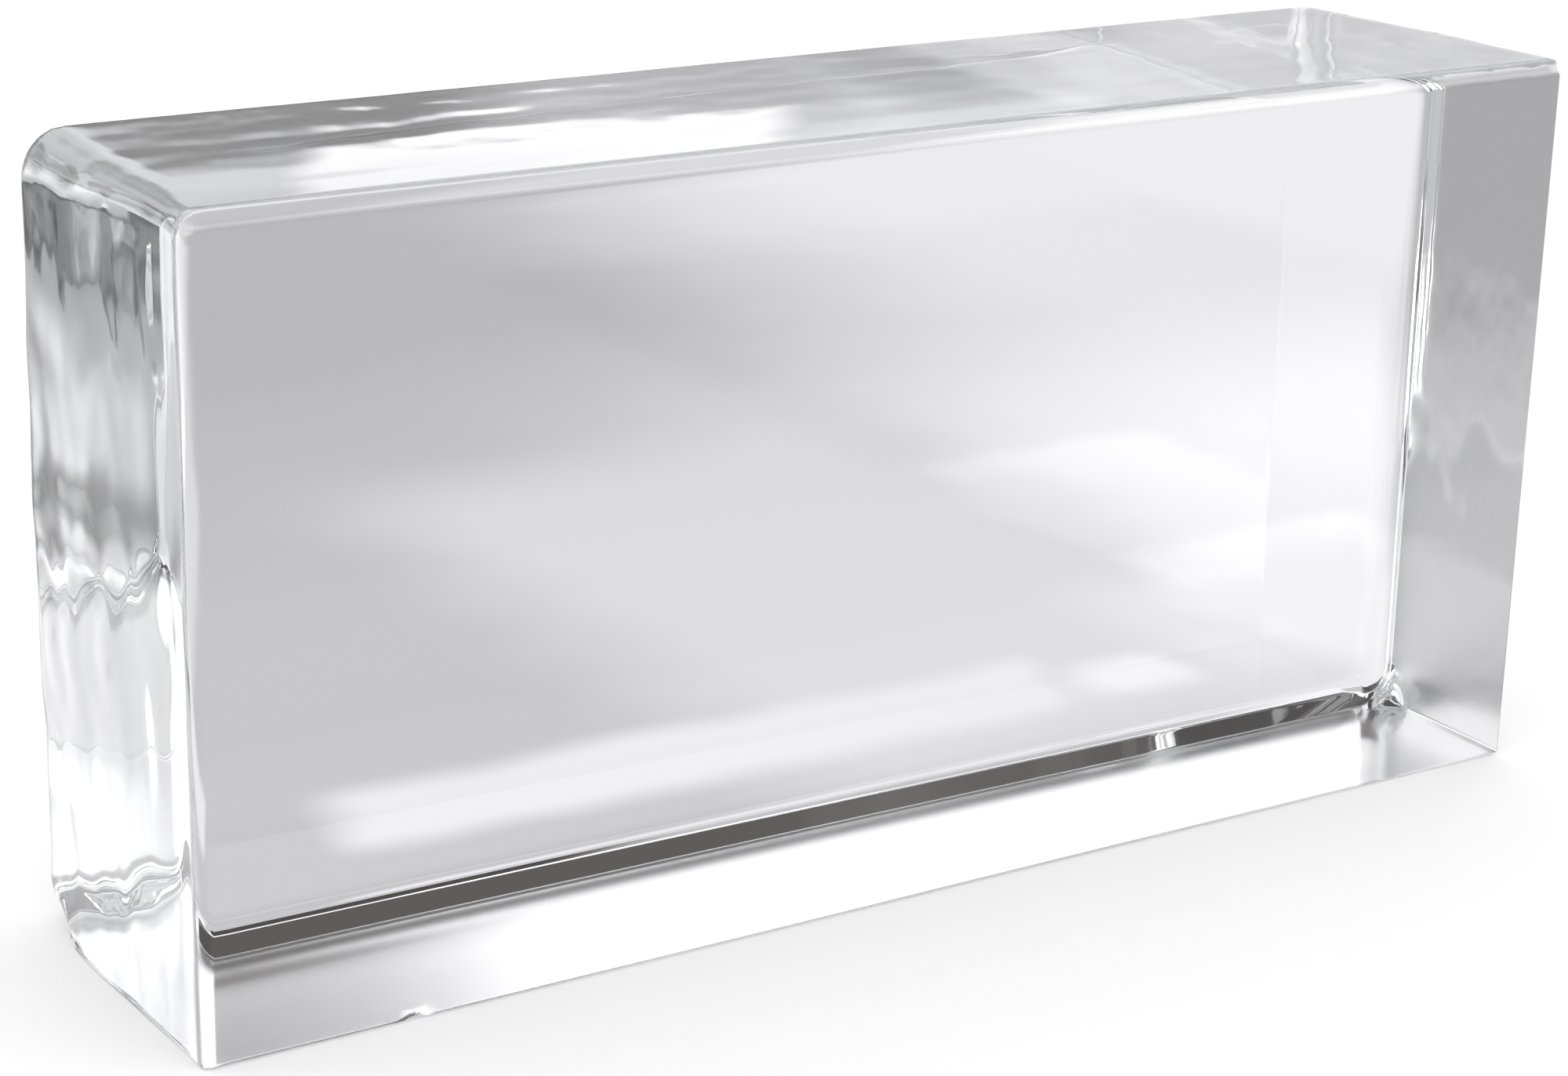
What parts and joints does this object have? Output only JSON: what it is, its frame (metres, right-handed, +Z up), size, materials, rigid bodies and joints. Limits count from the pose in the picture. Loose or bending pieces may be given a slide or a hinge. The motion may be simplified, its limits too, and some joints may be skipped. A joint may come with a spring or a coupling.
{
  "type": "solid glass brick",
  "caption": "Solid cast clear glass brick with rounded moulded edges, faintly rippled moulded sides, and a bottom bed and right end ground flat, for bonding into glass walls and screens.",
  "frame": {"origin": "middle of the bottom bed, the long narrow side that the brick stands on", "axes": "+X along the length, +Y through the thickness from the front face to the back face, +Z up"},
  "size_m": [0.2, 0.05, 0.1],
  "materials": {
    "cast_glass": "clear cast glass, fire-polished front, fine chill ripples on the moulded sides, fine-ground bottom bed and right end"
  },
  "bodies": {
    "root": {"glass_brick": "cast_glass"}
  },
  "joints": []
}
